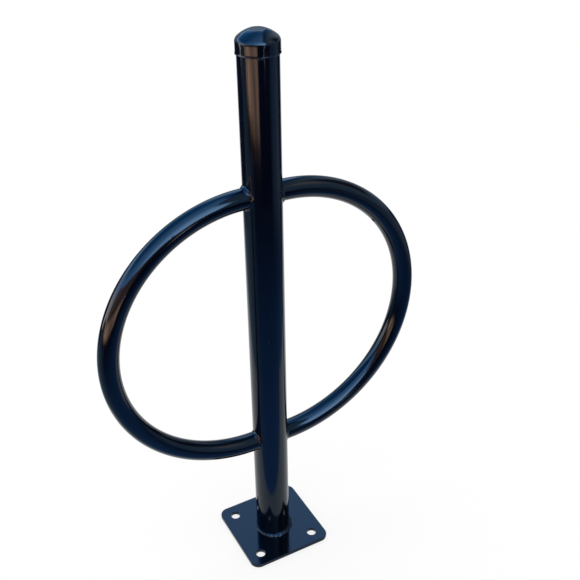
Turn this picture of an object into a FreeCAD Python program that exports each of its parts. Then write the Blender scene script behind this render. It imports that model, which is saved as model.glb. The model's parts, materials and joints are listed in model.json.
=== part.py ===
"""Post and loop bike rack: a round post on a base plate, two half loops and a pressed cap, all welded.

Millimetres, +Z up, +X along the plane of the loops. The origin is the centre of the base plate's underside.
"""
import FreeCAD, Part
import math
import os
from enum import IntEnum

import Sketcher

SHEET = "Sizes"
SIZES = (
    ("plate_side", 155.0, "side of the square base plate"),
    ("plate_thickness", 6.35, "thickness of the base plate"),
    ("plate_corner_radius", 15.9, "radius of the plate's four corners"),
    ("plate_edge_radius", 0.8, "softened upper edge of the plate"),
    ("anchor_hole_diameter", 16.7, "anchor holes, a close fit on a 16 mm anchor"),
    ("anchor_hole_spacing", 106.0, "from one anchor hole to the next along a side"),
    ("post_diameter", 60.3, "outside of the post's pipe"),
    ("post_wall", 3.9, "wall of the post's pipe"),
    ("post_length", 911.9, "length of the post's pipe, which stands on the plate"),
    ("foot_weld_leg", 6.0, "leg of the bead round the post's foot"),
    ("loop_diameter", 33.4, "outside of a loop's pipe"),
    ("loop_wall", 3.4, "wall of a loop's pipe"),
    ("loop_bend_radius", 232.6, "bend of a loop, on the pipe's centre line"),
    ("loop_end_straight", 2.0, "straight run of a loop between its bend and the post"),
    ("loop_centre_height", 457.2, "height of the loops' centre above the ground"),
    ("cope_gap", 0.2, "gap between a coped end and the post"),
    ("loop_weld_leg", 5.0, "leg of the saddle beads round the loops' ends"),
    ("loop_weld_rounding", 4.2, "rounding of the saddle beads' outer corner"),
    ("cap_wall", 1.5, "sheet thickness of the cap"),
    ("cap_clearance", 0.15, "gap all round between the cap's skirt and the post"),
    ("cap_skirt_length", 15.5, "straight part of the cap's skirt"),
    ("cap_shoulder_radius", 9.5, "outer radius between the cap's skirt and its flank"),
    ("cap_flank_radius", 48.0, "bulge of the cap's sloping flank"),
    ("cap_crown_diameter", 23.6, "flat crown of the cap"),
    ("cap_crown_edge_radius", 4.0, "rounding between the cap's flank and its crown"),
    ("cap_height", 32.1, "height of the cap from the foot of its skirt to its crown"),
    ("cap_seat_gap", 0.1, "gap between the post's rim and the inside of the cap's shoulder"),
    ("tack_count", 3, "tacks that hold the cap, evenly spaced"),
    ("tack_length", 9.0, "length of a tack along the skirt's foot"),
    ("tack_leg", 3.0, "height of a tack on the post"),
    ("tack_bearing", 249.0, "bearing of the first tack in degrees from +X"),
    ("bead_face_ratio", 1.5, "radius of a bead's rounded face over its leg"),
)

X_AXIS = FreeCAD.Vector(1, 0, 0)
Y_AXIS = FreeCAD.Vector(0, 1, 0)
Z_AXIS = FreeCAD.Vector(0, 0, 1)
FULL_TURN = 360
HALF_TURN = 180
TOLERANCE = 1e-4

# Sketcher's own numbers: its two axes, of which the root is the horizontal one and starts at the sketch's
# origin, and the points of a line or an arc.
VERTICAL, ROOT = IntEnum("Axis", ("VERTICAL", "ROOT"), start=-2)
START, END, CENTRE = IntEnum("Point", ("START", "END", "CENTRE"))

doc = FreeCAD.newDocument("BikeRack")


def make_sheet():
    """One row for each driving dimension: its meaning, and its value under an alias."""
    sheet = doc.addObject("Spreadsheet::Sheet", SHEET)
    for row, (alias, value, meaning) in enumerate(SIZES, 1):
        sheet.set(f"A{row}", meaning)
        sheet.set(f"B{row}", str(value))
        sheet.setAlias(f"B{row}", alias)
    doc.recompute()
    return sheet


sizes = make_sheet()


def cell(alias):
    """The name of a dimension inside an expression."""
    return f"{SHEET}.{alias}"


def half(alias):
    return f"{cell(alias)} / 2"


# Expressions that more than one piece uses.
POST_RADIUS = half("post_diameter")
LOOP_RADIUS = half("loop_diameter")
LOOP_BEND = cell("loop_bend_radius")
LOOP_BEND_OFFSET = f"{POST_RADIUS} + {cell('loop_end_straight')}"
UPPER_ENDS = f"{cell('loop_centre_height')} + {LOOP_BEND}"
LOWER_ENDS = f"{cell('loop_centre_height')} - {LOOP_BEND}"
CAP_RADIUS = f"{POST_RADIUS} + {cell('cap_clearance')} + {cell('cap_wall')}"


def number(expression):
    """An expression's value now, such as for a first guess at a sketch's geometry."""
    return float(sizes.evalExpression(expression.replace(f"{SHEET}.", "")))


def make_body(label):
    body = doc.addObject("PartDesign::Body", label)
    body.Label = label
    return body


def origin_feature(body, role):
    return next(feature for feature in body.Origin.OriginFeatures if feature.Role == role)


def make_sketch(body, name, plane):
    sketch = body.newObject("Sketcher::SketchObject", name)
    sketch.AttachmentSupport = [(origin_feature(body, plane), "")]
    sketch.MapMode = "FlatFace"
    return sketch


def constrain(sketch, *constraints):
    for constraint in constraints:
        sketch.addConstraint(Sketcher.Constraint(*constraint))


def dimension(sketch, name, expression, kind, *geometry):
    """A named sketch dimension that follows an expression."""
    index = sketch.addConstraint(Sketcher.Constraint(kind, *geometry, number(expression)))
    sketch.renameConstraint(index, name)
    sketch.setExpression(f"Constraints.{name}", expression)


def line(x1, y1, x2, y2):
    return Part.LineSegment(FreeCAD.Vector(x1, y1, 0), FreeCAD.Vector(x2, y2, 0))


def arc(centre, radius, start, end):
    """An arc that runs anticlockwise about its centre between two points."""
    angles = [math.atan2(point[1] - centre[1], point[0] - centre[0]) for point in (start, end)]
    circle = Part.Circle(FreeCAD.Vector(*centre, 0), Z_AXIS, radius)
    return Part.ArcOfCircle(circle, *angles)


def add_rings(sketch, names_and_radii):
    """Concentric circles about a sketch's origin."""
    for name, radius in names_and_radii:
        circle = Part.Circle(FreeCAD.Vector(), Z_AXIS, number(radius))
        index = sketch.addGeometry(circle, False)
        constrain(sketch, ("Coincident", index, CENTRE, ROOT, START))
        dimension(sketch, name, radius, "Radius", index)


def add_feature(body, kind, name, profile, **settings):
    feature = body.newObject(f"PartDesign::{kind}", name)
    feature.Profile = profile
    for setting, value in settings.items():
        setattr(feature, setting, value)
    return feature


def add_pad(body, name, sketch, length):
    pad = add_feature(body, "Pad", name, sketch)
    pad.setExpression("Length", length)
    doc.recompute()
    return pad


def cut_through(body, name, sketch, **settings):
    """A pocket right through the piece, to both sides of its sketch."""
    pocket = add_feature(body, "Pocket", name, sketch, Type="ThroughAll", SideType="Symmetric", **settings)
    doc.recompute()
    return pocket


def add_revolution(body, name, sketch, angle=None, **settings):
    """A revolution about the sketch's vertical axis: a full turn, or an angle that follows an expression."""
    axis = (sketch, ["V_Axis"])
    turn = add_feature(body, "Revolution", name, sketch, ReferenceAxis=axis, Angle=FULL_TURN, **settings)
    if angle:
        turn.setExpression("Angle", angle)
    doc.recompute()
    return turn


def add_polar_pattern(body, name, feature, occurrences):
    """Copies of a feature, evenly spaced round the body's Z axis."""
    pattern = body.newObject("PartDesign::PolarPattern", name)
    pattern.Originals = [feature]
    pattern.Axis = (origin_feature(body, "Z_Axis"), [""])
    pattern.Angle = FULL_TURN
    pattern.setExpression("Occurrences", occurrences)
    body.Tip = pattern
    doc.recompute()
    return pattern


def add_fillet(body, name, base, is_wanted, radius):
    """Rounds the edges of a feature that a test picks out."""
    edges = [f"Edge{i}" for i, edge in enumerate(base.Shape.Edges, 1) if is_wanted(edge)]
    fillet = body.newObject("PartDesign::Fillet", name)
    fillet.Base = (base, edges)
    fillet.setExpression("Radius", radius)
    doc.recompute()
    return fillet


def place(body, height, turn=FreeCAD.Rotation()):
    """Turns a body about its own origin, and lifts it to a height that follows an expression."""
    body.Placement = FreeCAD.Placement(FreeCAD.Vector(), turn)
    body.setExpression("Placement.Base.z", height)


def is_upright(edge):
    return abs(edge.tangentAt(edge.FirstParameter).z) > 1 - TOLERANCE


def is_level_at(height):
    """A test for edges that lie flat at one height."""
    return lambda edge: all(abs(z - height) < TOLERANCE for z in (edge.BoundBox.ZMin, edge.BoundBox.ZMax))


def make_base_plate():
    """A square plate with rounded corners, a softened upper edge and an anchor hole near each corner."""
    body = make_body("base_plate")
    outline = make_sketch(body, "PlateOutline", "XY_Plane")
    reach = number(half("plate_side"))
    corners = [(-reach, -reach), (reach, -reach), (reach, reach), (-reach, reach)]
    for start, end in zip(corners, corners[1:] + corners[:1]):
        outline.addGeometry(line(*start, *end), False)
    bottom, right, top, left = range(len(corners))
    for side, following in ((bottom, right), (right, top), (top, left), (left, bottom)):
        constrain(outline, ("Coincident", side, END, following, START))
    constrain(
        outline,
        ("Horizontal", bottom),
        ("Horizontal", top),
        ("Vertical", right),
        ("Vertical", left),
        ("Equal", bottom, right),
        ("Symmetric", bottom, START, top, START, ROOT, START),
    )
    dimension(outline, "side", cell("plate_side"), "DistanceX", bottom, START, bottom, END)
    plate = add_pad(body, "Plate", outline, cell("plate_thickness"))
    corner = add_fillet(body, "Corners", plate, is_upright, cell("plate_corner_radius"))
    upper = is_level_at(number(cell("plate_thickness")))
    add_fillet(body, "SoftEdge", corner, upper, cell("plate_edge_radius"))

    hole_sketch = make_sketch(body, "AnchorHole", "XY_Plane")
    offset = number(half("anchor_hole_spacing"))
    radius = number(half("anchor_hole_diameter"))
    hole = hole_sketch.addGeometry(Part.Circle(FreeCAD.Vector(offset, offset, 0), Z_AXIS, radius), False)
    dimension(hole_sketch, "hole", cell("anchor_hole_diameter"), "Diameter", hole)
    dimension(hole_sketch, "along_x", half("anchor_hole_spacing"), "DistanceX", ROOT, START, hole, CENTRE)
    dimension(hole_sketch, "along_y", half("anchor_hole_spacing"), "DistanceY", ROOT, START, hole, CENTRE)
    first_hole = cut_through(body, "FirstHole", hole_sketch)
    add_polar_pattern(body, "AnchorHoles", first_hole, str(len(corners)))
    return body


def make_post_tube():
    """A straight pipe that stands on the plate."""
    body = make_body("post_tube")
    ring = make_sketch(body, "PostSection", "XY_Plane")
    add_rings(ring, (("outside", POST_RADIUS), ("bore", f"{POST_RADIUS} - {cell('post_wall')}")))
    add_pad(body, "Pipe", ring, cell("post_length"))
    place(body, cell("plate_thickness"))
    return body


def bead_profile(body, radial_leg, upright_leg):
    """A bead's section in the corner between the post and a level face: two legs and a rounded face."""
    sketch = make_sketch(body, "BeadSection", "XZ_Plane")
    face = f"{upright_leg} * {cell('bead_face_ratio')}"
    root = number(POST_RADIUS)
    toe = (root + number(radial_leg), 0.0)
    top = (root, number(upright_leg))
    chord = math.dist(toe, top)
    rise = math.sqrt(number(face) ** 2 - chord ** 2 / 4)
    outward = ((top[1] - toe[1]) / chord, (toe[0] - top[0]) / chord)
    centre = [(a + b) / 2 - rise * n for a, b, n in zip(toe, top, outward)]
    foot = sketch.addGeometry(line(root, 0.0, *toe), False)
    bulge = sketch.addGeometry(arc(centre, number(face), toe, top), False)
    back = sketch.addGeometry(line(*top, root, 0.0), False)
    constrain(
        sketch,
        ("Coincident", foot, END, bulge, START),
        ("Coincident", bulge, END, back, START),
        ("Coincident", back, END, foot, START),
        ("Horizontal", foot),
        ("Vertical", back),
        ("PointOnObject", foot, START, ROOT),
    )
    dimension(sketch, "post", POST_RADIUS, "DistanceX", ROOT, START, foot, START)
    dimension(sketch, "radial_leg", radial_leg, "DistanceX", foot, START, foot, END)
    dimension(sketch, "upright_leg", upright_leg, "DistanceY", back, END, back, START)
    dimension(sketch, "face", face, "Radius", bulge)
    return sketch


def make_foot_weld():
    """The bead all round the post's foot, on the plate."""
    body = make_body("foot_weld")
    section = bead_profile(body, cell("foot_weld_leg"), cell("foot_weld_leg"))
    add_revolution(body, "Bead", section)
    place(body, cell("plate_thickness"))
    return body


def loop_path(body):
    """A loop's centre line from its upper end on the post's axis: a straight run, a half circle, and back."""
    path = make_sketch(body, "CentreLine", "XZ_Plane")
    bend = number(LOOP_BEND)
    offset = number(LOOP_BEND_OFFSET)
    bottom = -2 * bend
    upper = path.addGeometry(line(0.0, 0.0, offset, 0.0), False)
    half_circle = path.addGeometry(arc((offset, -bend), bend, (offset, bottom), (offset, 0.0)), False)
    lower = path.addGeometry(line(offset, bottom, 0.0, bottom), False)
    constrain(
        path,
        ("Coincident", upper, START, ROOT, START),
        ("Tangent", upper, END, half_circle, END),
        ("Tangent", half_circle, START, lower, START),
        ("PointOnObject", lower, END, VERTICAL),
        ("Horizontal", upper),
        ("Horizontal", lower),
    )
    dimension(path, "bend", LOOP_BEND, "Radius", half_circle)
    dimension(path, "offset", LOOP_BEND_OFFSET, "DistanceX", ROOT, START, half_circle, CENTRE)
    return path


def make_loop(label, turn):
    """A pipe bent to a half circle, with both ends coped to the post."""
    body = make_body(label)
    path = loop_path(body)
    section = make_sketch(body, "LoopSection", "YZ_Plane")
    add_rings(section, (("outside", LOOP_RADIUS), ("bore", f"{LOOP_RADIUS} - {cell('loop_wall')}")))
    add_feature(body, "AdditivePipe", "BentPipe", section, Spine=(path, ["Edge1", "Edge2", "Edge3"]))
    doc.recompute()
    cope = make_sketch(body, "Cope", "XY_Plane")
    add_rings(cope, (("cope", f"{POST_RADIUS} + {cell('cope_gap')}"),))
    cut_through(body, "CopedEnds", cope)
    place(body, UPPER_ENDS, turn)
    return body


def quarter_disc(body, name, radius):
    """The quarter of a disc on the body's YZ plane between +Y and +Z."""
    sketch = make_sketch(body, name, "YZ_Plane")
    reach = number(radius)
    flat = sketch.addGeometry(line(0.0, 0.0, reach, 0.0), False)
    rim = sketch.addGeometry(arc((0.0, 0.0), reach, (reach, 0.0), (0.0, reach)), False)
    upright = sketch.addGeometry(line(0.0, reach, 0.0, 0.0), False)
    constrain(
        sketch,
        ("Coincident", flat, START, ROOT, START),
        ("Coincident", flat, END, rim, START),
        ("Coincident", rim, END, upright, START),
        ("Coincident", upright, END, flat, START),
        ("Coincident", rim, CENTRE, ROOT, START),
        ("Horizontal", flat),
        ("Vertical", upright),
    )
    dimension(sketch, "radius", radius, "Radius", rim)
    return sketch


def add_mirror_image(body, name, plane):
    """Doubles the whole body across one of its own planes."""
    mirror = body.newObject("PartDesign::Mirrored", name)
    mirror.TransformMode = "Whole shape"
    mirror.MirrorPlane = (origin_feature(body, plane), [""])
    body.Tip = mirror
    doc.recompute()
    return mirror


def make_loop_weld(label, height, turn):
    """The saddle bead round a loop's upper end: what lies within a leg of both pipes, its corner rounded."""
    body = make_body(label)
    outside_loop = f"{LOOP_RADIUS} + {cell('loop_weld_leg')}"
    outside_post = f"{POST_RADIUS} + {cell('loop_weld_leg')}"
    sleeve = quarter_disc(body, "Sleeve", outside_loop)
    add_pad(body, "SleeveStub", sleeve, f"{outside_post} + {cell('loop_weld_leg')}")
    collar = make_sketch(body, "Collar", "XY_Plane")
    add_rings(collar, (("collar", outside_post), ("beyond", f"2 * ({outside_post})")))
    saddle = cut_through(body, "SaddleEnd", collar)

    loop_side = number(outside_loop)
    post_side = number(outside_post)

    def is_saddle(edge):
        ends = [vertex.Point for vertex in edge.Vertexes]
        on_post = all(abs(math.hypot(p.x, p.y) - post_side) < TOLERANCE for p in ends)
        return on_post and all(abs(math.hypot(p.y, p.z) - loop_side) < TOLERANCE for p in ends)

    add_fillet(body, "RoundedFace", saddle, is_saddle, cell("loop_weld_rounding"))
    add_mirror_image(body, "BothSides", "XZ_Plane")
    add_mirror_image(body, "AllRound", "XY_Plane")
    post = make_sketch(body, "Post", "XY_Plane")
    add_rings(post, (("post", POST_RADIUS),))
    cut_through(body, "PostSide", post)
    path = loop_path(body)
    pipe = make_sketch(body, "Loop", "YZ_Plane")
    add_rings(pipe, (("loop", LOOP_RADIUS),))
    add_feature(body, "SubtractivePipe", "LoopSide", pipe, Spine=(path, ["Edge1", "Edge2"]))
    doc.recompute()
    place(body, height, turn)
    return body


def make_post_cap():
    """A pressed cap of even sheet: a skirt over the post, a round shoulder, a bulged flank, a flat crown."""
    body = make_body("post_cap")
    profile = make_sketch(body, "CapProfile", "XZ_Plane")
    radius, skirt, height = (number(e) for e in (CAP_RADIUS, cell("cap_skirt_length"), cell("cap_height")))
    shoulder, bulge = (number(cell(a)) for a in ("cap_shoulder_radius", "cap_flank_radius"))
    crown_edge = (number(half("cap_crown_diameter")), height)

    # The flank's arc touches the shoulder's arc from outside it and ends at the crown's edge, so its centre
    # is the lower of the two points where two circles cross.
    shoulder_centre = (radius - shoulder, skirt)
    span = math.dist(shoulder_centre, crown_edge)
    along = ((bulge - shoulder) ** 2 - bulge ** 2 + span ** 2) / (2 * span)
    aside = math.sqrt((bulge - shoulder) ** 2 - along ** 2)
    ux, uy = ((b - a) / span for a, b in zip(shoulder_centre, crown_edge))
    x, y = (c + along * u for c, u in zip(shoulder_centre, (ux, uy)))
    crossings = [(x + aside * uy, y - aside * ux), (x - aside * uy, y + aside * ux)]
    flank_centre = min(crossings, key=lambda point: point[1])
    stretch = bulge / (bulge - shoulder)
    join = [c + (s - c) * stretch for c, s in zip(flank_centre, shoulder_centre)]

    foot = profile.addGeometry(line(0.0, 0.0, radius, 0.0), False)
    side = profile.addGeometry(line(radius, 0.0, radius, skirt), False)
    round_shoulder = profile.addGeometry(arc(shoulder_centre, shoulder, (radius, skirt), join), False)
    flank = profile.addGeometry(arc(flank_centre, bulge, join, crown_edge), False)
    crown = profile.addGeometry(line(*crown_edge, 0.0, height), False)
    axis = profile.addGeometry(line(0.0, height, 0.0, 0.0), False)
    constrain(
        profile,
        ("Coincident", foot, START, ROOT, START),
        ("Coincident", foot, END, side, START),
        ("Tangent", side, END, round_shoulder, START),
        ("Tangent", round_shoulder, END, flank, START),
        ("Coincident", flank, END, crown, START),
        ("Coincident", crown, END, axis, START),
        ("Coincident", axis, END, foot, START),
        ("Horizontal", foot),
        ("Vertical", side),
        ("Horizontal", crown),
        ("Vertical", axis),
    )
    dimension(profile, "radius", CAP_RADIUS, "DistanceX", foot, START, foot, END)
    dimension(profile, "skirt", cell("cap_skirt_length"), "DistanceY", side, START, side, END)
    dimension(profile, "shoulder", cell("cap_shoulder_radius"), "Radius", round_shoulder)
    dimension(profile, "bulge", cell("cap_flank_radius"), "Radius", flank)
    dimension(profile, "crown", half("cap_crown_diameter"), "DistanceX", crown, END, crown, START)
    dimension(profile, "height", cell("cap_height"), "DistanceY", axis, END, axis, START)
    solid = add_revolution(body, "Form", profile)
    rounded = add_fillet(body, "CrownEdge", solid, is_level_at(height), cell("cap_crown_edge_radius"))

    faces = enumerate(rounded.Shape.Faces, 1)
    open_face = next(f"Face{i}" for i, face in faces if face.BoundBox.ZMax < TOLERANCE)
    shell = body.newObject("PartDesign::Thickness", "Sheet")
    shell.Base = (rounded, [open_face])
    shell.setExpression("Value", cell("cap_wall"))
    doc.recompute()

    # The post's rim stops just short of the inside of the shoulder, where the cap narrows to the post's size.
    inner = f"({cell('cap_shoulder_radius')} - {cell('cap_wall')})"
    slack = cell("cap_clearance")
    seat = f"{cell('cap_skirt_length')} + sqrt(2 * {inner} * {slack} - {slack} ^ 2) - {cell('cap_seat_gap')}"
    place(body, f"{cell('plate_thickness')} + {cell('post_length')} - ({seat})")
    return body


def make_cap_tacks(cap):
    """Short beads in the corner under the cap's skirt, from the skirt's foot down the post."""
    body = make_body("cap_tack_welds")
    body.AllowCompound = True
    section = bead_profile(body, f"{cell('cap_clearance')} + {cell('cap_wall')}", cell("tack_leg"))
    angle = f"{cell('tack_length')} / ({POST_RADIUS}) * {HALF_TURN} / pi"
    tack = add_revolution(body, "Tack", section, angle, Midplane=True)
    add_polar_pattern(body, "Tacks", tack, cell("tack_count"))
    upside_down = FreeCAD.Rotation(X_AXIS, HALF_TURN)
    bearing = FreeCAD.Rotation(Z_AXIS, number(cell("tack_bearing")))
    place(body, f"{cap.Name}.Placement.Base.z", bearing * upside_down)
    return body


def make_rack():
    no_turn = FreeCAD.Rotation()
    about_x, about_y, about_z = (FreeCAD.Rotation(axis, HALF_TURN) for axis in (X_AXIS, Y_AXIS, Z_AXIS))
    cap = make_post_cap()
    return [
        make_base_plate(),
        make_post_tube(),
        make_foot_weld(),
        make_loop("right_loop", no_turn),
        make_loop("left_loop", about_z),
        make_loop_weld("right_upper_weld", UPPER_ENDS, no_turn),
        make_loop_weld("right_lower_weld", LOWER_ENDS, about_x),
        make_loop_weld("left_upper_weld", UPPER_ENDS, about_z),
        make_loop_weld("left_lower_weld", LOWER_ENDS, about_y),
        cap,
        make_cap_tacks(cap),
    ]


def check(pieces):
    """Stops if an object failed, a cut removed nothing or a piece isn't a valid solid."""
    for item in doc.Objects:
        if {"Invalid", "Error"} & set(item.State):
            raise RuntimeError(f"{item.Label} failed: {item.State}")
        if item.TypeId in ("PartDesign::Pocket", "PartDesign::SubtractivePipe"):
            if item.Shape.Volume > item.BaseFeature.Shape.Volume - TOLERANCE:
                raise RuntimeError(f"{item.Label} removes nothing")
    for piece in pieces:
        if piece.Shape.isNull() or not piece.Shape.isValid() or not piece.Shape.Solids:
            raise RuntimeError(f"{piece.Label} has no valid solid")


rack = make_rack()
doc.recompute()
check(rack)
os.makedirs("parts", exist_ok=True)
for node in rack:
    node.Shape.exportStep(os.path.join("parts", f"{node.Label}.step"))
    print(node.Label, len(node.Shape.Solids), round(node.Shape.Volume, 1))
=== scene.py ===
"""Looks of the post and loop bike rack: coated pipes, plate and cap, their weld beads, and a plain studio.

Metres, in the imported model's frame: +Z up, +X along the loops' plane, origin under the plate's centre.
"""
import json
import math

import bmesh
import bpy
import numpy as np
from mathutils import Matrix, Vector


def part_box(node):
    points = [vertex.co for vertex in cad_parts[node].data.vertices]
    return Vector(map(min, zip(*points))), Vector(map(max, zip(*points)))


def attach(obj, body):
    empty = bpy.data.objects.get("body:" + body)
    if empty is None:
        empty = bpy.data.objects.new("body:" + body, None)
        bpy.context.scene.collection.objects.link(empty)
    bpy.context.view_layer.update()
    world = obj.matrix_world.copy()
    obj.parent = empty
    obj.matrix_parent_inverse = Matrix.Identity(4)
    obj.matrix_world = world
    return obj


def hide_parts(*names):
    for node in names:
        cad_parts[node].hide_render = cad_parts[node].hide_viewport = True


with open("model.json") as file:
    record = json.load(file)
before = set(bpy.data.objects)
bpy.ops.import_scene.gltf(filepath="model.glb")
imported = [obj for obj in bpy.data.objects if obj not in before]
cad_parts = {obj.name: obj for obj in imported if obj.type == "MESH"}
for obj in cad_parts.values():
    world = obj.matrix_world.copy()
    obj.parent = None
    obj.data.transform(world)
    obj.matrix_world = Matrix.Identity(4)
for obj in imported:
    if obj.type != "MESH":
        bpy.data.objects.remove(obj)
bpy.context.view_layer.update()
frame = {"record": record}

MM = 0.001
TURN = 2 * math.pi
QUARTER = TURN / 4
UP = np.array([0.0, 0.0, 1.0])
MERGE = 0.001 * MM


def corners(node):
    """Lowest and highest corner of a CAD node."""
    low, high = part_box(node)
    return np.array(low), np.array(high)


# Sizes read from the frame.
PLATE_REACH, _, PLATE_TOP = corners("base_plate")[1]
POST_LOW, POST_HIGH = corners("post_tube")
POST_RADIUS = POST_HIGH[0]
LOOP_LOW, LOOP_HIGH = corners("right_loop")
LOOP_RADIUS = LOOP_HIGH[1]
LOOP_CENTRE = (LOOP_LOW[2] + LOOP_HIGH[2]) / 2
LOOP_BEND = (LOOP_HIGH[2] - LOOP_LOW[2]) / 2 - LOOP_RADIUS
LOOP_OFFSET = LOOP_HIGH[0] - LOOP_BEND - LOOP_RADIUS
LOOP_BEAD_LEG = corners("right_upper_weld")[1][1] - LOOP_RADIUS
FOOT_BEAD_LEG = corners("foot_weld")[1][0] - POST_RADIUS
CAP_LOW, CAP_HIGH = corners("post_cap")
CAP_RADIUS = CAP_HIGH[0]
ANCHORS = next(mount["dims"] for mount in frame["record"]["mounts"] if mount["name"] == "anchor_bolts")
HOLE_PLACE = ANCHORS["spacing_x_mm"] * MM / 2
HOLE_RADIUS = ANCHORS["hole_r_mm"] * MM

# Sizes that a node's box doesn't show, and the seed and the waves a turn of the cap's wrinkles.
POST_WALL = 3.9 * MM
POST_END = 0.4 * MM
LOOP_WALL = 3.4 * MM
COPE_GAP = 0.2 * MM
PLATE_CORNER = 15.9 * MM
PLATE_EDGE = 0.8 * MM
HOLE_LIP = 0.5 * MM
UNDER_LIP = 0.3 * MM
CAP_WALL = 1.5 * MM
CAP_SKIRT = 15.5 * MM
CAP_SHOULDER = 9.5 * MM
CAP_FLANK = 48.0 * MM
CAP_CROWN = 11.8 * MM
CAP_CROWN_EDGE = 4.0 * MM
CAP_FLARE = 0.6 * MM
CAP_FLARE_RISE = 3.0 * MM
CAP_WRINKLE = 0.10 * MM
CAP_WRINKLE_RISE = 5.0 * MM
CAP_WRINKLE_SEED = 51
CAP_WRINKLE_WAVES = 9, 26

# Every weld bead: how deep it is sunk, how its crests wander along the seam and bend to crescents, the
# shares of crests and flecks in its relief, the flecks' waves along the seam as shares of the number of
# ripples, their half waves across it, and the sizes of the waves that make a lump.
BEAD_SINK = 0.15 * MM
BEAD_WANDER = 1.3
BEAD_WANDER_WAVES = 3, 9
BEAD_CRESCENT = 0.9
CREST_SHARE = 0.35
FLECK_SHARE = 0.9
FLECK_WAVES = 0.35, 0.9
FLECK_HALF_WAVES = 1, 2
LUMP_SIZES = 0.4, 1.0

# The loops' beads: a leg is a lean share, a heavy share and lumps of the full leg, and the ripples have a
# least share of their height.
LOOP_RIPPLE = 0.5 * MM
LOOP_RIPPLE_LEAST = 0.2
LOOP_PITCH = 5.5 * MM
LOOP_FULLNESS = 0.37
LOOP_LEAN_LEG = 0.44
LOOP_HEAVY_LEG = 0.52
LOOP_LEG_LUMPS = 0.10
LOOP_LEG_WAVES = 2, 7

# Each loop bead's heavy side and rough side, in degrees round the loop from the ring's outer side, and the
# seeds of its face and its leg.
LOOP_BEADS = {
    ("right", "upper"): (200, 285, 80, 87),
    ("right", "lower"): (180, 270, 60, 67),
    ("left", "upper"): (0, 95, 70, 77),
    ("left", "lower"): (140, 70, 50, 57),
}

# The foot's bead. Its legs on the plate and on the post each have a full share, what they lose on the lean
# side, lumps and a seed. The ripples lose a share of their height there too.
FOOT_RIPPLE = 0.9 * MM
FOOT_RIPPLE_LOSS = 0.7
FOOT_PITCH = 5.5 * MM
FOOT_FULLNESS = 0.75
FOOT_SEED = 33
FOOT_LEAN_BEARING = math.radians(150)
FOOT_LEGS = (0.92, 0.55, 0.10, 31), (0.84, 0.50, 0.12, 32)
FOOT_LEG_WAVES = 3, 12

# The tacks under the cap's skirt. They bite into its round edge, reach out by a multiple of its overhang
# and have two swells.
TACK_COUNT = 3
TACK_LENGTH = 10.0 * MM
TACK_HEIGHT = 4.2 * MM
TACK_BITE = CAP_WALL / 4
TACK_REACH = 1.6
TACK_BEARING = math.radians(249)
TACK_MEAN = 0.8
TACK_SWELL = 0.25
TACK_SWELL_PHASE = 2.6
TACK_RIPPLE = 0.1 * MM
TACK_RIPPLE_COUNT = 36
TACK_FULLNESS = 1.1
TACK_SEED = 41

# Drops of coat that set on the pipes, with their half length, half width and height. The post's has a
# bearing and a height above the ground. A loop's has a side, an angle from the loop's top and an angle
# round the pipe from its outer side.
POST_DROP = math.radians(249), 0.443, (1.4 * MM, 1.4 * MM, 1.1 * MM)
LOOP_DROPS = (
    (-1, math.radians(29.5), math.radians(65), (3.0 * MM, 1.3 * MM, 0.8 * MM)),
    (-1, math.radians(56), math.radians(68), (1.6 * MM, 1.3 * MM, 0.8 * MM)),
    (1, math.radians(48.8), math.radians(198), (4.5 * MM, 1.8 * MM, 1.4 * MM)),
)

# Steps and points of the meshes. The rows of the plate's faces crowd at the hole's rim and at the border.
POST_ROWS = 40
POST_STEPS = 256
LOOP_RUN_ROWS = 3
LOOP_BEND_STEPS = 256
LOOP_ROUND_STEPS = 96
BEAD_FACE_POINTS = 25
LOOP_BEAD_STEPS = 384
FOOT_BEAD_STEPS = 768
TACK_STEPS = 96
CAP_STEPS = 480
CAP_CROWN_POINTS = 12
CAP_EDGE_POINTS = 16
CAP_SIDE_POINTS = 24
CAP_LIP_POINTS = 9
DROP_TURN_POINTS = 33
DROP_TILT_POINTS = 17
PLATE_SIDE_POINTS = 17
PLATE_CORNER_POINTS = 33
PLATE_AXIS_POINTS = 33
PLATE_LIP_POINTS = 7
PLATE_FACE_SHARES = np.array([0, 0.02, 0.06, 0.15, 0.32, 0.55, 0.78, 0.92, 0.97, 0.99, 1])


def quads(rows, columns, first):
    """Corner numbers of the quads between the points of a grid."""
    corner = first + np.arange(rows * columns).reshape(rows, columns)
    around = corner[:-1, :-1], corner[:-1, 1:], corner[1:, 1:], corner[1:, :-1]
    return np.stack(around, -1).reshape(-1, 4)


def make_piece(name, grids, material, *nodes):
    """One closed mesh from grids of points: seams and poles merged, faces turned outwards.

    The piece stands for the named CAD nodes, if any, rides on the part's only body and is shaded smooth.
    """
    firsts = np.cumsum([0] + [grid[..., 0].size for grid in grids])
    points = np.concatenate([grid.reshape(-1, 3) for grid in grids])
    faces = np.concatenate([quads(*grid.shape[:2], first) for grid, first in zip(grids, firsts)])
    mesh = bpy.data.meshes.new(name)
    mesh.from_pydata(points, [], faces)
    joined = bmesh.new()
    joined.from_mesh(mesh)
    bmesh.ops.remove_doubles(joined, verts=joined.verts, dist=MERGE)
    bmesh.ops.recalc_face_normals(joined, faces=joined.faces)
    joined.to_mesh(mesh)
    joined.free()
    mesh.shade_smooth()
    mesh.materials.append(material)
    piece = bpy.data.objects.new(name, mesh)
    bpy.context.scene.collection.objects.link(piece)
    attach(piece, "root")
    if nodes:
        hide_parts(*nodes)


def arc(centre, radius, start, end, points):
    """Points of an arc in a plane, from one angle to another: centre + r (cos a, sin a)."""
    angle = np.linspace(start, end, points)
    return np.asarray(centre) + radius * np.stack([np.cos(angle), np.sin(angle)], -1)


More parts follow.
